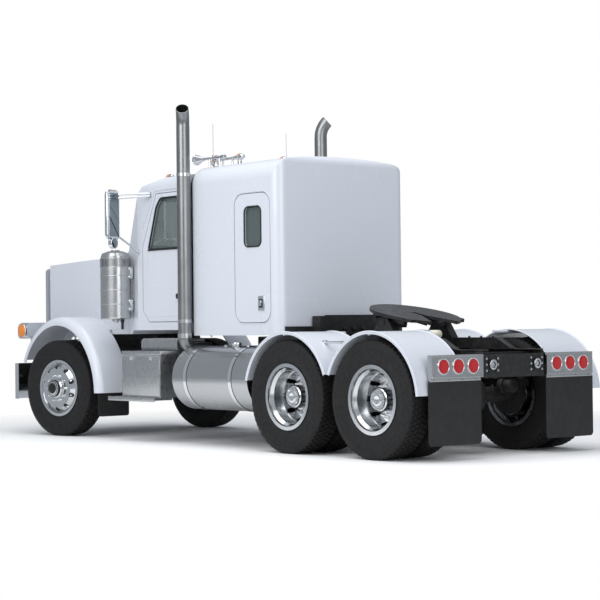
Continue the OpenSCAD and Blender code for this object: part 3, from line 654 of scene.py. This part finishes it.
rims = []
lenses = []
for x in (0.565, 0.755, 0.945):
    rims += [ring((x, 3.536, 0.858), (0, 1, 0), 0.069, 0.0075, 1.0, 40, 10)]
    lenses += [turned((x, 3.5395, 0.858), (0, 1, 0), 0.060, 0.002, [(0.012, 0.004), (0.018, 0.002)], 36)]
made(rims + mirrored(rims), "tail_lamp_rings", "chrome")
made(lenses + mirrored(lenses), "tail_lamp_lenses", "red_lens")
bars = [block((0.432, 3.531, 0.752), (1.083, 3.535, 0.768), 0.002),
        block((0.432, 3.531, 0.944), (1.083, 3.535, 0.960), 0.002)]
bars += [turned((x, 3.532, 0.783), (0, 1, 0), 0.008, 0.004, [(0.002, 0.002)], 6) for x in (0.47, 0.66, 0.85,
    1.05)]
made(bars + mirrored(bars), "light_bar_edges", "stainless")
hang = [block((0.445, 3.498, 0.722), (1.100, 3.512, 0.752), 0.003)]
hang += [turned((x, 3.508, 0.735), (0, 1, 0), 0.009, 0.008, [(0.002, 0.003)], 6) for x in (0.50, 0.68, 0.86,
    1.05)]
made(hang + mirrored(hang), "mudflap_hangers", "stainless")
face = 3.513
eyes = [turned((x, face + 0.018, 0.862), (0, 1, 0), 0.047, 0.006,
               [(0.006, 0.006), (0.012, -0.012), (0.006, -0.006)], 36, 0.001)
        for x in (0.300, -0.300)]
eyes += [turned((sx * 0.300 + dx, face, 0.862 + dz), (0, 1, 0), 0.012, 0.009, [(0.003, 0.004)], 6)
         for sx in (1, -1) for dx in (-0.075, 0.075) for dz in (-0.055, 0, 0.055)]
made(eyes, "tow_eyes_and_bolts", "chrome")
knees = [block((0.330, 3.20, 0.985), (0.415, 3.505, 0.999), 0.003),
         block((0.396, 3.30, 0.76), (0.408, 3.498, 0.985), 0.003),
         turned((0.300, 3.40, 0.88), (0, 1, 0), 0.040, 0.10, [(0.01, 0.01)], 24, 0.003)]
made(knees + mirrored(knees), "rail_end_plates", "frame_paint")
canister = [turned((0.385, 2.800, 1.145), (0, 1, 0), 0.038, 0.120, [(0.010, 0.008), (0.014, 0.004)], 32,
                   0.006),
            block((0.365, 2.82, 1.103), (0.405, 2.88, 1.125), 0.004)]
made(canister, "air_dryer_canister", "cream_plastic")

# rear fender edges and the bar between them
edges = []
for y, a0, a1 in ((1.646, 21, 166), (2.865, 4.5, 159)):
    arc = [(y + 0.630 * math.cos(math.radians(a)), 0.550 + 0.630 * math.sin(math.radians(a)))
           for a in [a0 + (a1 - a0) * k / 36 for k in range(37)]]
    for x in (0.617, 1.230):
        edges.append(tube([(x, q[0], q[1]) for q in arc], 0.0075))
made(edges + mirrored(edges), "rear_fender_edges", "white_paint")
link = [tube([(1.02, 2.02, 1.075), (1.02, 2.46, 1.075)], 0.014),
        tube([(0.80, 2.02, 1.075), (0.80, 2.46, 1.075)], 0.014),
        turned((1.02, 2.02, 1.075), (0, -1, 0), 0.024, 0.035, [(0.006, 0.006)], 20, 0.002),
        turned((1.02, 2.46, 1.075), (0, 1, 0), 0.024, 0.035, [(0.006, 0.006)], 20, 0.002),
        tube([(0.43, 2.255, 1.03), (0.70, 2.255, 1.03), (1.03, 2.255, 1.075)], 0.016, soft=0.08)]
made(link + mirrored(link), "rear_fender_links", "chrome")


# ---------------------------------------------------------------- nose

marker = [turned((1.130, -3.395, 1.215), (1, 0, 0), 0.078, 0.008, [(0.012, 0.008), (0.022, 0.004)], 40,
                 0.001)]
made(marker + mirrored(marker), "side_markers", "amber_lens", "hood")
marker_rim = [ring((1.132, -3.395, 1.215), (1, 0, 0), 0.081, 0.007, 1.0, 44, 8)]
pod_trim = [tube([(x, -3.489, z) for x,
                  z in ((0.836, 1.127), (1.123, 1.127), (1.123, 1.302), (0.836, 1.302))], 0.007, True,
                  0.04)]
made(marker_rim + pod_trim + mirrored(marker_rim + pod_trim), "headlight_rims", "chrome", "hood")
lamp_glass = [block((0.848, -3.486, 1.138), (1.112, -3.478, 1.292), 0.003)]
made(lamp_glass + mirrored(lamp_glass), "headlight_lenses", "clear_lens", "hood")
bowls = []
for x in (0.915, 1.045):
    bowls += [turned((x, -3.470, 1.215), (0, -1, 0), 0.055, 0.004, [(0.006, 0.003), (0.034, -0.010)], 32)]
made(bowls + mirrored(bowls), "headlight_reflectors", "chrome", "hood")
trim = [tube([(-0.60, -3.601, 0.935), (0.60, -3.601, 0.935), (0.60, -3.601, 1.890), (-0.60, -3.601, 1.890)],
             0.008, True, 0.03)]
made(trim, "grille_inner_rim", "chrome", "hood")
ridge = [tube([(0, -3.440, 2.002), (0, -1.720, 2.063)], 0.007)]
latch = [block((0.742, -1.86, 1.30), (0.760, -1.80, 1.40), 0.006),
         block((0.748, -1.85, 1.22), (0.756, -1.81, 1.31), 0.003)]
made(ridge, "hood_centre_bead", "white_paint", "hood")
made(latch + mirrored(latch), "hood_latches", "black_plastic", "hood")
fogs = [turned((x, -3.543, 0.60), (0, -1, 0), 0.052, 0.006, [(0.008, 0.004), (0.02, -0.002)], 32,
               0.001) for x in (0.62,)]
made(fogs + mirrored(fogs), "fog_lamps", "clear_lens")
fog_rims = [ring((0.62, -3.545, 0.60), (0, 1, 0), 0.056, 0.006)]
hooks = [turned((x, -3.541, 0.50), (0, -1, 0), 0.020, 0.010, [(0.006, 0.004)], 24, 0.002) for x in (0.36,
    0.90)]
made(fog_rims + hooks + mirrored(fog_rims + hooks), "bumper_fittings", "chrome")
plate = [block((-0.16, -3.5445, 0.565), (0.16, -3.5405, 0.715), 0.002)]
made(plate, "blank_plate", "cream_plastic")

# ---------------------------------------------------------------- inside

for s, side in ((1, "driver"), (-1, "passenger")):
    x0, x1 = sorted((s * 0.195, s * 0.645))
    base = block((x0, -0.895, 1.645), (x1, -0.435, 1.762), 0.045, 5)
    pick(base, lambda c, n: n.z > 0.9)
    bpy.ops.mesh.inset(thickness=0.05)
    bpy.ops.transform.translate(value=(0, 0, -0.010))
    bpy.ops.object.mode_set(mode="OBJECT")
    made([base], side + "_seat_cushion", "fabric", stands_for=["seats_and_bunk"])
    back = block((x0 + 0.01, -0.525, 1.775), (x1 - 0.01, -0.435, 2.200), 0.038, 5)
    head = block((x0 + 0.11, -0.515, 2.210), (x1 - 0.11, -0.440, 2.345), 0.032, 5)
    made([back], side + "_seat_back", "fabric", stands_for=["seats_and_bunk"])
    made([head], side + "_head_rest", "fabric", stands_for=["seats_and_bunk"])
    stand = block((s * 0.42 - 0.12, -0.86, 1.255), (s * 0.42 + 0.12, -0.50, 1.640), 0.02, 3)
    made([stand], side + "_seat_pedestal", "interior", stands_for=["seats_and_bunk"])
mattress = block((-0.810, 0.300, 1.640), (0.810, 1.070, 1.760), 0.050, 5)
made([mattress], "bunk_mattress", "fabric", stands_for=["seats_and_bunk"])
shelf = block((-0.810, 0.300, 1.560), (0.810, 1.070, 1.636), 0.006)
made([shelf], "bunk_base", "interior", stands_for=["seats_and_bunk"])
hood_over = [block((0.200, -1.360, 2.000), (0.640, -1.330, 2.040), 0.010, 3)]
dials = [turned((x, -1.372, 1.955), (0, 0.75, 0.66), 0.045, 0.006, [(0.006, -0.003)], 28) for x in (0.32,
    0.42, 0.52)]
made(hood_over + dials, "instrument_cluster", "black_plastic")

# ---------------------------------------------------------------- fifth wheel, deck and underside


def tilted(objs):
    """From the level plate to its parked tilt."""
    m = (Matrix.Translation((0, 2.180, 1.262)) @ Matrix.Rotation(math.radians(-12), 4, "X"))
    for o in objs:
        o.data.transform(m)
    return objs


ribs = [block((x - 0.006, -0.40 + abs(x) * 0.5, 0.020), (x + 0.006, 0.30 - abs(x) * 0.2, 0.061),
              0.002) for x in (0.10, 0.36)]
ribs += [block((0.10, y, 0.024), (0.36, y + 0.012, 0.061), 0.002) for y in (-0.22, 0.12)]
made(tilted(ribs + mirrored(ribs)), "fifth_wheel_ribs", "greased_iron", "fifth_wheel")
jaws = [block((0.030, -0.05, 0.020), (0.090, 0.09, 0.060), 0.010, 3),
        block((0.060, -0.30, 0.022), (0.085, -0.05, 0.050), 0.004)]
made(tilted(jaws + mirrored(jaws)), "fifth_wheel_jaws", "greased_iron", "fifth_wheel")
arm = [tube([(0.07, -0.16, 0.030), (0.30, -0.16, 0.030), (0.445, -0.10, 0.030)], 0.009, soft=0.04)]
made(tilted(arm), "fifth_wheel_release", "greased_iron", "fifth_wheel")
bolts = [turned((x, y, 1.105), (0, 0, 1), 0.013, 0.010, [(0.003, 0.004)], 6) for x in (0.385,)
         for y in (1.42, 1.62, 1.80, 2.56, 2.72, 2.88)]
made(bolts + mirrored(bolts), "mounting_bolts", "frame_paint")
deck = [block((-0.440, 1.290, 1.106), (0.440, 1.700, 1.118), 0.003)]
deck += [block((-0.440, 1.30 + 0.05 * k, 1.118), (0.440, 1.318 + 0.05 * k, 1.124), 0.002) for k in range(8)]
made(deck, "deck_plate", "frame_paint")
boxy = [block((-0.30, 1.168, 1.335), (0.30, 1.268, 1.345), 0.003)]
boxy += [turned((x, 1.276, 1.20), (0, 1, 0), 0.022, 0.022, [(0.006, 0.006)], 24, 0.002) for x in (-0.12,
    0.0, 0.12)]
made(boxy, "air_connection_plate", "black_plastic")
chambers = []
for y in (1.646, 2.865):
    chambers += [turned((0.400, y + 0.110, 0.640), (0, 1, 0), 0.078, 0.060, [(0.006, 0.005), (0.02, 0.01)],
                        32, 0.003),
                 turned((0.400, y + 0.175, 0.640), (0, 1, 0), 0.072, 0.090, [(0.010, 0.008)], 32, 0.003),
                 ring((0.400, y + 0.173, 0.640), (0, 1, 0), 0.081, 0.006)]
made(chambers + mirrored(chambers), "brake_chambers", "axle_paint")
shocks = [turned((0.520, y + 0.02, 0.640), (0.0, 0.35, 1), 0.030, 0.20, [(0.006, 0.004), (0.008, 0.10)], 24,
                 0.002) for y in (1.50,)]
made(shocks + mirrored(shocks), "shock_absorbers", "axle_paint")
sump = [block((-0.22, -2.95, 0.560), (0.22, -2.15, 0.640), 0.03, 3)]
made(sump, "engine_sump", "axle_paint")

# ---------------------------------------------------------------- studio

world = bpy.data.worlds.new("studio")
bpy.context.scene.world = world
world.use_nodes = True
wt = world.node_tree
wt.nodes.clear()
path = put(wt, "ShaderNodeLightPath")
soft = put(wt, "ShaderNodeBackground", {"Color": lin("#dfe6ee"), "Strength": 0.55})
plain = put(wt, "ShaderNodeBackground", {"Color": (1, 1, 1, 1), "Strength": 1.0})
pick = put(wt, "ShaderNodeMixShader",
           {0: path.outputs["Is Camera Ray"], 1: soft.outputs[0], 2: plain.outputs[0]})
put(wt, "ShaderNodeOutputWorld", {0: pick.outputs[0]})


def lamp(name, where, at, size, watts, colour="#ffffff"):
    d = bpy.data.lights.new(name, "AREA")
    d.shape = "RECTANGLE"
    d.size, d.size_y = size
    d.energy = watts
    d.color = lin(colour)[:3]
    o = bpy.data.objects.new(name, d)
    bpy.context.scene.collection.objects.link(o)
    o.location = where
    o.rotation_euler = (Vector(at) - Vector(where)).to_track_quat("-Z", "Y").to_euler()
    return o


lamp("over", (2, 1, 9), (0, 0, 1), (9, 11), 700)
lamp("key", (12, 3, 6), (0, 0, 1.5), (8, 6), 520)
lamp("fill", (3, 14, 4), (0, 0, 1.5), (8, 5), 330)

bpy.ops.mesh.primitive_plane_add(size=90, location=(0, 0, -0.001))
floor = bpy.context.object
floor.name = "floor"
paper = finish("floor_white", "#fafafa", 0.9, vary=0.005, scale=0.3, spec=0.1)
floor.data.materials.append(paper)
# the floor fades out with distance, so that it has no horizon line
pt = paper.node_tree
far = put(pt, "ShaderNodeVectorMath", {0: put(pt, "ShaderNodeTexCoord").outputs["Object"]},
          operation="LENGTH")
fade = put(pt, "ShaderNodeMapRange", {"Value": far.outputs["Value"], "From Min": 4.2, "From Max": 7.5})
solid = [n for n in pt.nodes if n.type == "BSDF_PRINCIPLED"][0]
soft_edge = put(pt, "ShaderNodeMixShader", {0: fade.outputs[0], 1: solid.outputs[0],
                                            2: put(pt, "ShaderNodeBsdfTransparent").outputs[0]})
pt.links.new(soft_edge.outputs[0], [n for n in pt.nodes if n.type == "OUTPUT_MATERIAL"][0].inputs[0])

cam_data = bpy.data.cameras.new("camera")
cam = bpy.data.objects.new("camera", cam_data)
bpy.context.scene.collection.objects.link(cam)
CAM_AT = Vector((11.916, 14.601, 1.235))
YAW, PITCH, ROLL, LENS = 0.699, -0.015, -0.011, 104.1
fwd = Vector((-math.sin(YAW) * math.cos(PITCH), -math.cos(YAW) * math.cos(PITCH), -math.sin(PITCH)))
side_v = fwd.cross(Vector((0, 0, 1))).normalized()
up_v = side_v.cross(fwd)
right_v = math.cos(ROLL) * side_v + math.sin(ROLL) * up_v
up_v = -math.sin(ROLL) * side_v + math.cos(ROLL) * up_v
m = Matrix.Identity(4)
for i in range(3):
    m[i][0], m[i][1], m[i][2], m[i][3] = right_v[i], up_v[i], -fwd[i], CAM_AT[i]
cam.matrix_world = m
cam_data.lens = LENS
cam_data.sensor_width = 36
cam_data.clip_end = 200
bpy.context.scene.camera = cam
bpy.context.scene.view_settings.view_transform = "Standard"
